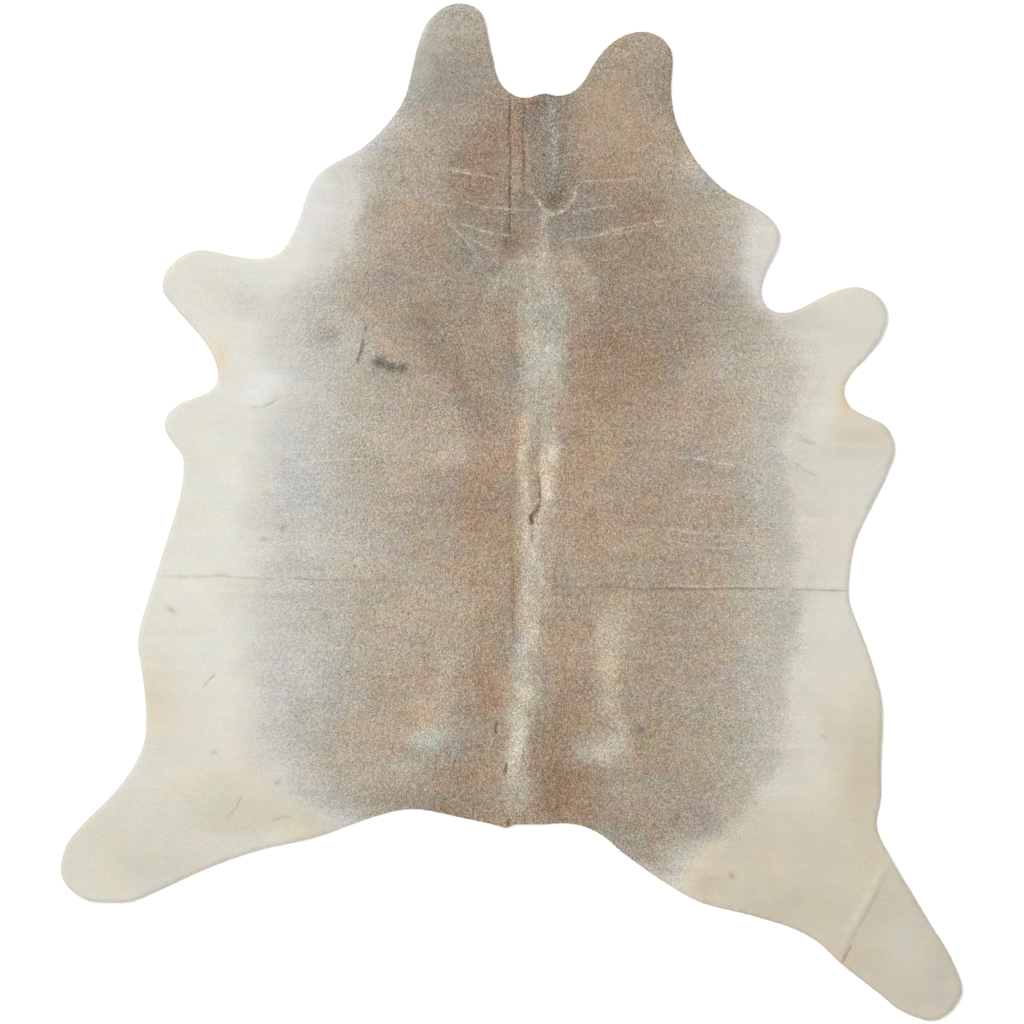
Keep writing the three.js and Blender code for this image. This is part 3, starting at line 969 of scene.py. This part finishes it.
class Socket:
    """A shader value that takes part in Python expressions, each adding its Math node."""

    def __init__(self, shader: "Shader", output: bpy.types.NodeSocket) -> None:
        """Wraps an output of one of the shader's nodes."""
        self.shader = shader
        self.output = output

    def math(self, operation: str, first: object, second: object) -> "Socket":
        """Adds a Math node for first operation second."""
        return self.shader.node("ShaderNodeMath", {"operation": operation}, {0: first, 1: second})

    def __add__(self, other: object) -> "Socket":
        """self + other."""
        return self.math("ADD", self, other)

    def __mul__(self, other: object) -> "Socket":
        """self * other."""
        return self.math("MULTIPLY", self, other)


class Shader:
    """One material's nodes, around its Principled BSDF."""

    def __init__(self, name: str, fixed: dict[str, object]) -> None:
        """Makes the material.

        Args:
            name: The finish's name.
            fixed: Values that are the same all over, by the shader's own socket.
        """
        self.material = bpy.data.materials.new(name)
        self.material.use_nodes = True
        self.tree = self.material.node_tree
        self.surface = self.tree.nodes["Principled BSDF"]
        for socket, value in fixed.items():
            self.surface.inputs[socket].default_value = value

    def node(
        self, kind: str, settings: dict[str, object], inputs: dict[object, object], output: object = 0
    ) -> Socket:
        """Adds a node.

        Args:
            kind: The node's type.
            settings: Its own settings, set first.
            inputs: Values or links of its sockets, by name or place.
            output: The output that is wanted, by name or place.

        Returns:
            That output, for expressions.
        """
        made = self.tree.nodes.new(kind)
        for name, value in settings.items():
            setattr(made, name, value)
        for name, value in inputs.items():
            if isinstance(value, Socket):
                self.tree.links.new(value.output, made.inputs[name])
            else:
                made.inputs[name].default_value = value
        return Socket(self, made.outputs[output])

    def feed(self, socket: str, value: Socket) -> None:
        """Links a value to one of the surface's sockets."""
        self.tree.links.new(value.output, self.surface.inputs[socket])

    def hair_colour(self) -> Socket:
        """The hair colour stored at the piece's points."""
        return self.node("ShaderNodeVertexColor", {"layer_name": HAIR_COLOURS}, {}, "Color")

    def noise(self, scale: float, detail: float) -> Socket:
        """Noise on the object's own coordinates, scale to the metre."""
        place = self.node("ShaderNodeTexCoord", {}, {}, "Object")
        inputs = {"Vector": place, "Scale": scale, "Detail": detail}
        return self.node("ShaderNodeTexNoise", {}, inputs, "Fac")

    def mix(self, factor: object, first: object, second: object, blend: str = "MIX") -> Socket:
        """Mixes two colours.

        Args:
            factor: Share of the second colour.
            first: The first colour, a link or four numbers.
            second: The second colour.
            blend: How the second colour is laid on.

        Returns:
            The mixed colour.
        """
        settings = {"data_type": "RGBA", "blend_type": blend}
        return self.node("ShaderNodeMix", settings, {0: factor, 6: first, 7: second}, 2)

    def bump(self, height: Socket, strength: float, distance: float) -> None:
        """Raises the surface's normal by a height."""
        inputs = {"Height": height, "Strength": strength, "Distance": distance}
        self.feed("Normal", self.node("ShaderNodeBump", {}, inputs, "Normal"))


@dataclass(frozen=True)
class HairFinish:
    """Short dry hair, coloured lock by lock."""

    roughness: float = 0.62
    shine: float = 0.25
    sheen: float = 0.06
    streak: float = 0.04
    streak_scale: float = 1400.0

    def material(self, name: str) -> bpy.types.Material:
        """Makes the hair's material.

        Args:
            name: The material's name.

        Returns:
            The material.
        """
        shader = Shader(name, {
            "Roughness": self.roughness,
            "Specular IOR Level": self.shine,
            "Sheen Weight": self.sheen,
        })
        fine = shader.noise(self.streak_scale, 1.0) * self.streak + (1.0 - self.streak / 2)
        shader.feed("Base Color", shader.mix(1.0, shader.hair_colour(), fine, "MULTIPLY"))
        return shader.material


@dataclass(frozen=True)
class UnderhairFinish:
    """The short dense hair between the locks, painted a little darker than they are as shade in the gaps
    between them.
    """

    roughness: float = 0.8
    shine: float = 0.2
    # shade darkens the hair colour: painted shade between the locks.
    shade: float = 0.965
    grain: float = 420.0
    contrast: float = 0.2
    nap: float = 0.5
    nap_depth: float = 0.8 * MM

    def material(self) -> bpy.types.Material:
        """Makes the underhair's material.

        Returns:
            The material.
        """
        shader = Shader("underhair", {"Roughness": self.roughness, "Specular IOR Level": self.shine})
        grain = shader.noise(self.grain, 2.0)
        # Painted shade between the locks: the hair colour darkened by shade.
        uneven = grain * self.contrast + (self.shade - self.contrast / 2)
        shader.feed("Base Color", shader.mix(1.0, shader.hair_colour(), uneven, "MULTIPLY"))
        shader.bump(grain, self.nap, self.nap_depth)
        return shader.material


@dataclass(frozen=True)
class SuedeFinish:
    """The buffed flesh side, pale and napped."""

    pale: Tint = (222, 208, 184)
    dark: Tint = (196, 178, 150)
    roughness: float = 0.92
    shine: float = 0.15
    sheen: float = 0.2
    cloud: float = 7.0
    fibre: float = 160.0
    nap: float = 900.0
    nap_depth: float = 0.4 * MM
    cloud_share: float = 0.6
    fibre_share: float = 0.5
    nap_strength: float = 0.4

    def material(self) -> bpy.types.Material:
        """Makes the suede's material.

        Returns:
            The material.
        """
        shader = Shader("flesh_side", {
            "Roughness": self.roughness,
            "Specular IOR Level": self.shine,
            "Sheen Weight": self.sheen,
        })
        pale, dark = ((*to_linear(np.array(tint)), 1.0) for tint in (self.pale, self.dark))
        cloud = shader.noise(self.cloud, 4.0) * self.cloud_share
        cloud = cloud + shader.noise(self.fibre, 3.0) * self.fibre_share
        shader.feed("Base Color", shader.mix(cloud, pale, dark))
        shader.bump(shader.noise(self.nap, 3.0), self.nap_strength, self.nap_depth)
        return shader.material


@dataclass(frozen=True)
class FloorFinish:
    """Plain pale paint, very slightly cloudy."""

    tint: Tint = (252, 252, 251)
    cloud_tint: Tint = (0.8, 0.8, 0.8)
    cloud: float = 0.01
    roughness: float = 0.9
    shine: float = 0.1

    def material(self) -> bpy.types.Material:
        """Makes the floor's material.

        Returns:
            The material.
        """
        shader = Shader("floor_white", {"Roughness": self.roughness, "Specular IOR Level": self.shine})
        paint = (*to_linear(np.array(self.tint)), 1.0)
        cloud = shader.noise(2.0, 2.0) * self.cloud
        shader.feed("Base Color", shader.mix(cloud, paint, (*self.cloud_tint, 1.0)))
        return shader.material


def mesh_object(name: str, points: np.ndarray, faces: np.ndarray) -> bpy.types.Object:
    """Makes a mesh of triangles and links it to the scene.

    Args:
        name: The piece's name.
        points: One row of x, y and z for each point, in metres.
        faces: One row of three points for each face.

    Returns:
        The object, at the origin.
    """
    mesh = bpy.data.meshes.new(name)
    mesh.vertices.add(len(points))
    mesh.vertices.foreach_set("co", points.astype(np.float32).ravel())
    mesh.loops.add(faces.size)
    mesh.loops.foreach_set("vertex_index", faces.astype(np.int32).ravel())
    mesh.polygons.add(len(faces))
    mesh.polygons.foreach_set("loop_start", np.arange(0, faces.size, 3, dtype=np.int32))
    mesh.update(calc_edges=True)
    made = bpy.data.objects.new(name, mesh)
    bpy.context.scene.collection.objects.link(made)
    return made


def colour_points(piece: bpy.types.Object, tints: np.ndarray) -> None:
    """Stores a display colour for each point of a piece as its hair colour."""
    layer = piece.data.color_attributes.new(HAIR_COLOURS, "FLOAT_COLOR", "POINT")
    rgba = np.ones((len(tints), 4), np.float32)
    rgba[:, :3] = to_linear(tints)
    layer.data.foreach_set("color", rgba.ravel())


def place_map(piece: bpy.types.Object, corners: np.ndarray) -> None:
    """Gives a piece its own flat map, one row of u and v for each face corner."""
    layer = piece.data.uv_layers.new(name=BAKE_MAP)
    layer.uv.foreach_set("vector", corners.astype(np.float32).ravel())


@dataclass
class Skin:
    """The tanned sheet: its hair side, cut edge and flesh side, lying on the solid's folds.

    Rooms, margins and cells are shares of the spacing or of the crease's step, and the crease's
    sides are shares of its reach.
    """

    outline: Outline
    relief: Relief
    coat: Coat
    thickness: float = 2.0 * MM
    spacing: float = 9.0 * MM
    crease_step: float = 5.0 * MM
    row_share: float = 0.866
    row_margin: float = 0.6
    rim_room: float = 0.5
    crease_room: float = 0.6
    crease_cell: float = 0.4
    crease_sides: tuple[float, ...] = (-0.8, 0.0, 0.8)
    inset: float = 3.0 * MM
    rim_gap: float = 2.0 * MM
    map_margin: float = 0.002
    map_share: float = 0.8
    flesh_start: float = 0.72
    flesh_share: float = 0.28

    def build(self) -> bpy.types.Object:
        """Builds and dresses the sheet.

        Returns:
            The sheet.
        """
        places, triangles = self.cut_out()
        rim = len(self.outline.points)
        top = self.relief.at(places)
        bottom = np.maximum(top - self.thickness, 0.0)
        count = len(places)
        points = np.vstack([np.column_stack([places, top]), np.column_stack([places, bottom])])
        here = np.arange(rim)
        after = (here + 1) % rim
        wall = np.vstack([
            np.stack([here, here + count, after], 1),
            np.stack([after, here + count, after + count], 1),
        ])
        faces = np.vstack([triangles, triangles[:, ::-1] + count, wall])
        sheet = mesh_object("skin", points, faces)
        self.dress(sheet, places, len(triangles), len(wall))
        return sheet

    def cut_out(self) -> tuple[np.ndarray, np.ndarray]:
        """Fills the outline with triangles that follow the creases.

        Returns:
            One row of x and y for each point, the outline's first, and the triangles.
        """
        rim = self.outline.points
        row_step = self.spacing * self.row_share
        grid = self.outline.inner_grid(self.spacing, row_step, self.row_margin * self.spacing)
        grid = grid[~is_near(grid, rim, self.rim_room * self.spacing)]
        creases = self.crease_rows()
        grid = grid[~is_near(grid, creases, self.crease_room * self.crease_step)]
        every = np.vstack([rim, grid, creases])
        loop = [(i, (i + 1) % len(rim)) for i in range(len(rim))]
        made = delaunay_2d_cdt([Vector(p) for p in every], loop, [], 1, 1e-7)
        places = np.array([tuple(v) for v in made[0]])
        triangles = np.array(made[2], int)
        a, b, c = (places[triangles[:, i]] for i in range(3))
        turn = (b[:, 0] - a[:, 0]) * (c[:, 1] - a[:, 1]) - (b[:, 1] - a[:, 1]) * (c[:, 0] - a[:, 0])
        triangles[turn < 0] = triangles[turn < 0][:, ::-1]
        return places, triangles

    def crease_rows(self) -> np.ndarray:
        """Rows of points along each crease, on it and to both sides.

        Returns:
            One row of x and y for each point inside the hide.
        """
        rows = []
        for crease in CREASES:
            path = np.array(crease.path, float) * MM
            run = path_run(path)
            line = along_path(path, run, np.arange(0.0, run[-1], self.crease_step))
            along = np.gradient(line, axis=0)
            side = np.stack([-along[:, 1], along[:, 0]], 1) / np.hypot(*along.T)[:, None]
            for offset in self.crease_sides:
                rows.append(line + side * offset * crease.reach * MM)
        return self.inside(self.thinned(np.concatenate(rows)))

    def thinned(self, points: np.ndarray) -> np.ndarray:
        """Keeps one point of each small cell, so that crossing creases don't crowd."""
        cells = np.floor(points / (self.crease_cell * self.crease_step)).astype(int)
        _, first = np.unique(cells, axis=0, return_index=True)
        return points[np.sort(first)]

    def inside(self, points: np.ndarray) -> np.ndarray:
        """Keeps the points inside the outline and a little off it."""
        kept = []
        for x, y in points:
            ends = self.outline.crossings(y)
            spans = zip(ends[::2] + self.inset, ends[1::2] - self.inset)
            kept.append(any(left < x < right for left, right in spans))
        kept_points = points[np.array(kept)]
        return kept_points[~is_near(kept_points, self.outline.points, self.rim_gap)]

    def dress(self, sheet: bpy.types.Object, places: np.ndarray, top: int, wall: int) -> None:
        """Colours the hair side, and gives the sheet its finishes and its map.

        Args:
            sheet: The sheet.
            places: Its points seen from above.
            top: The number of faces on the hair side.
            wall: The number of faces round the cut edge.
        """
        tints, _ = self.coat.paint(*(places / MM).T)
        colour_points(sheet, np.vstack([tints, tints]))
        sheet.data.materials.append(UnderhairFinish().material())
        sheet.data.materials.append(SuedeFinish().material())
        slots = np.concatenate([np.zeros(top, np.int32), np.ones(top + wall, np.int32)])
        sheet.data.polygons.foreach_set("material_index", slots)
        smooth = np.ones(len(slots), bool)
        smooth[2 * top:] = False
        sheet.data.polygons.foreach_set("use_smooth", smooth)
        flat = self.outline.on_map(places)
        hair = self.map_margin + flat * self.map_share
        flesh = np.array([self.flesh_start, self.map_margin]) + flat * self.flesh_share
        index = np.zeros(len(sheet.data.loops), np.int32)
        sheet.data.loops.foreach_get("vertex_index", index)
        # After the corners of both sides' triangles come the edge's, all on the flesh side's map.
        edge = index[6 * top:]
        edge[edge < len(places)] += len(places)
        place_map(sheet, np.vstack([hair, flesh])[index])


class Shade(Enum):
    """The four shades of lock that make a roan coat, and the part of its speckle each holds."""

    DARK = (0.0, 0.25)
    TAWNY = (0.25, 0.5)
    GREY = (0.5, 0.75)
    PALE = (0.75, 1.0)

    @property
    def piece(self) -> str:
        """The name of the piece that holds the shade's locks."""
        return f"hair_{self.name.lower()}"


@dataclass
class Pelt:
    """The hair: short flat locks all over the skin, in four pieces by shade.

    lengths, widths and lifts hold the least and the most share of length, width and tip_lift.
    calm_lift and calm_roll say how much less the plain hair stands up and rolls.
    """

    outline: Outline
    relief: Relief
    coat: Coat
    locks: int = 784_000
    quick_locks: int = 160_000
    length: float = 3.8 * MM
    width: float = 2.1 * MM
    rim_reach: float = 8.0 * MM
    overhang: float = 2.6 * MM
    root_depth: float = 0.3 * MM
    tip_lift: float = 1.1 * MM
    steps_per_shade: int = 4
    contrast: float = 3.85
    spread: float = 1.7
    tone: Tint = (0.98, 1.0, 1.01)
    scatter: float = 0.45
    edge_margin: float = 0.6 * MM
    lay_spread: float = 0.3
    lengths: Span = (0.65, 1.3)
    widths: Span = (0.7, 1.3)
    lifts: Span = (0.3, 1.5)
    calm_lift: float = 0.55
    roll: float = 0.5
    calm_roll: float = 0.75
    edge_turn: float = 0.8
    least_outward: float = 0.2
    shortest: float = 0.25
    map_margin: float = 0.006
    map_span: float = 0.488
    map_lock: float = 1.2 / PHOTO_SIDE
    seed: int = 7

    def build(self) -> list[bpy.types.Object]:
        """Builds and dresses the four pieces.

        Returns:
            The pieces.
        """
        rng = np.random.default_rng(self.seed)
        roots = self.roots(rng)
        rng.shuffle(roots)
        share = len(roots) // len(Shade)
        pieces = []
        for i, shade in enumerate(Shade):
            pieces.append(self.shade_piece(shade, roots[i * share:(i + 1) * share], rng))
        return pieces

    def roots(self, rng: np.random.Generator) -> np.ndarray:
        """Where the locks grow, evenly but not in rows.

        Args:
            rng: The random numbers' source.

        Returns:
            One row of x and y each, in metres.
        """
        wanted = self.locks
        cell = float(np.sqrt(self.outline.area() / wanted))
        roots = self.outline.inner_grid(cell, cell, self.edge_margin)
        return roots + rng.uniform(-self.scatter * cell, self.scatter * cell, roots.shape)

    def shade_piece(self, shade: Shade, roots: np.ndarray, rng: np.random.Generator) -> bpy.types.Object:
        """Builds one shade's locks as one piece.

        Args:
            shade: The shade.
            roots: Where its locks grow.
            rng: The random numbers' source.

        Returns:
            The piece.
        """
        x, y = (roots / MM).T
        count = len(roots)
        tints, speckle = self.coat.paint(x, y)
        step = rng.integers(0, self.steps_per_shade, count)
        low, high = shade.value
        rank = low + (high - low) * (step + 0.5) / self.steps_per_shade
        offset = (2.0 * rank - 1.0) * self.spread * self.contrast
        flat = self.coat.flatness(speckle)
        tints = tints + (offset * speckle)[:, None] * np.array(self.tone)
        lay = self.coat.lay(x, y) + rng.normal(0.0, self.lay_spread, count)
        long = self.length * rng.uniform(*self.lengths, count)
        wide = self.width * rng.uniform(*self.widths, count)
        way = np.stack([np.cos(lay), np.sin(lay)], 1)
        way, long = self.trim(roots, way, long, rng)
        side = np.stack([-way[:, 1], way[:, 0]], 1)
        left = roots + side * wide[:, None] / 2
        right = roots - side * wide[:, None] / 2
        tip = roots + way * long[:, None]
        skin = self.relief.at(roots)
        lift = self.tip_lift * (1.0 - self.calm_lift * flat) * rng.uniform(*self.lifts, count)
        roll = rng.uniform(-self.roll, self.roll, count) * (1.0 - self.calm_roll * flat) * MM
        points = np.stack([
            np.column_stack([left, skin - self.root_depth + roll]),
            np.column_stack([right, skin - self.root_depth - roll]),
            np.column_stack([tip, self.relief.at(tip) + lift]),
        ], 1).reshape(-1, 3)
        faces = np.arange(3 * count).reshape(-1, 3)[:, ::-1]
        piece = mesh_object(shade.piece, points, faces)
        colour_points(piece, np.repeat(tints, 3, 0))
        piece.data.materials.append(HairFinish().material(shade.piece))
        place_map(piece, self.map_corners(roots, step))
        return piece

    def trim(
        self, roots: np.ndarray, way: np.ndarray, long: np.ndarray, rng: np.random.Generator
    ) -> tuple[np.ndarray, np.ndarray]:
        """Turns the hair at the cut edge outwards, and keeps its tips close to the edge.

        Args:
            roots: Where the locks grow.
            way: The way each points.
            long: Their lengths.
            rng: The random numbers' source.

        Returns:
            The ways and lengths after trimming.
        """
        near = is_near(roots, self.outline.points, self.rim_reach)
        out, depth = self.outline.nearest(roots[near])
        turn = self.edge_turn * (1.0 - smooth_step(0.0, self.rim_reach, depth))[:, None]
        turned = way[near] * (1.0 - turn) + out * turn
        turned /= np.hypot(*turned.T)[:, None]
        outward = np.maximum((turned * out).sum(1), self.least_outward)
        room = (depth + self.overhang * rng.uniform(0.0, 1.0, len(depth))) / outward
        way, long = way.copy(), long.copy()
        way[near] = turned
        long[near] = np.maximum(np.minimum(long[near], room), self.shortest * self.length)
        return way, long

    def map_corners(self, roots: np.ndarray, step: np.ndarray) -> np.ndarray:
        """Lays each lock on its place in one of four small maps of the hide, one a step of shade.

        Args:
            roots: Where the locks grow.
            step: Each lock's step of shade.

        Returns:
            One row of u and v for each corner.
        """
        cell = np.stack([step % 2, step // 2], 1) * 0.5
        middle = cell + self.map_margin + self.outline.on_map(roots) * self.map_span
        shape = np.array([(-1.0, -0.6), (1.0, -0.6), (0.0, 1.1)]) * self.map_lock
        return (middle[:, None, :] + shape[None, :, :]).reshape(-1, 2)


@dataclass
class Studio:
    """A white floor under soft light, seen straight from above."""

    middle: tuple[float, float] = (1.4 * MM, 0.2 * MM)
    height: float = 12.0
    sensor: float = 36.0
    floor_side: float = 40.0
    floor_depth: float = 0.3 * MM
    sky: float = 0.84
    key_power: float = 1.72
    key_spread: float = 0.7
    key_way: tuple[float, float, float] = (-4.2, 3.4, 5.2)

    def build(self) -> None:
        """Sets the floor, the lights and the camera."""
        self.lay_floor()
        self.hang_lights()
        self.set_camera()
        bpy.context.scene.view_settings.view_transform = "Standard"

    def lay_floor(self) -> None:
        """Lays a plain floor just under the flesh side."""
        bpy.ops.object.select_all(action="DESELECT")
        place = (0.0, 0.0, -self.floor_depth)
        bpy.ops.mesh.primitive_plane_add(size=self.floor_side, location=place)
        floor = bpy.context.object
        floor.name = "floor"
        floor.data.materials.append(FloorFinish().material())

    def hang_lights(self) -> None:
        """Lights the rug by a broad soft lamp far over the head's left, in an evenly pale room."""
        world = bpy.data.worlds.new("studio")
        world.use_nodes = True
        sky = world.node_tree.nodes["Background"]
        sky.inputs["Color"].default_value = (1.0, 1.0, 1.0, 1.0)
        sky.inputs["Strength"].default_value = self.sky
        bpy.context.scene.world = world
        lamp = bpy.data.lights.new("key", "SUN")
        lamp.angle = self.key_spread
        lamp.energy = self.key_power
        key = bpy.data.objects.new("key", lamp)
        key.rotation_euler = (-Vector(self.key_way)).to_track_quat("-Z", "Y").to_euler()
        bpy.context.scene.collection.objects.link(key)

    def set_camera(self) -> None:
        """Points the camera straight down, so that the picture is the photograph's size."""
        lens = bpy.data.cameras.new("camera")
        lens.sensor_width = self.sensor
        lens.lens = self.sensor * self.height / (PHOTO_SIDE * PHOTO_PIXEL)
        lens.clip_end = 100.0
        camera = bpy.data.objects.new("camera", lens)
        camera.location = (*self.middle, self.height)
        bpy.context.scene.collection.objects.link(camera)
        bpy.context.scene.camera = camera


@dataclass
class CowhideRug:
    """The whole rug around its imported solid."""

    node: bpy.types.Object
    edge_step: float = 7.0 * MM
    flat_size: tuple[float, float] = (2.03, 2.29)
    flat_area: float = 2.62

    def build(self) -> None:
        """Builds skin and hair, and ties them to the frame."""
        solid = bmesh.new()
        solid.from_mesh(self.node.data)
        bmesh.ops.remove_doubles(solid, verts=solid.verts, dist=1e-6)
        solid.normal_update()
        outline = Outline(solid, self.edge_step)
        relief = Relief(solid)
        coat = Coat()
        skin = Skin(outline, relief, coat).build()
        hair = Pelt(outline, relief, coat).build()
        for piece in (skin, *hair):
            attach(piece, "root")
            LOG.info("%s: %d faces", piece.name, len(piece.data.polygons))
        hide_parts("hide")
        solid.free()


def main() -> None:
    """Loads the frame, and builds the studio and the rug."""
    logging.basicConfig(level=logging.INFO, format="%(name)s %(message)s")
    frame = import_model()
    Studio().build()
    CowhideRug(frame["nodes"]["hide"]).build()


if __name__ == "__main__":
    main()
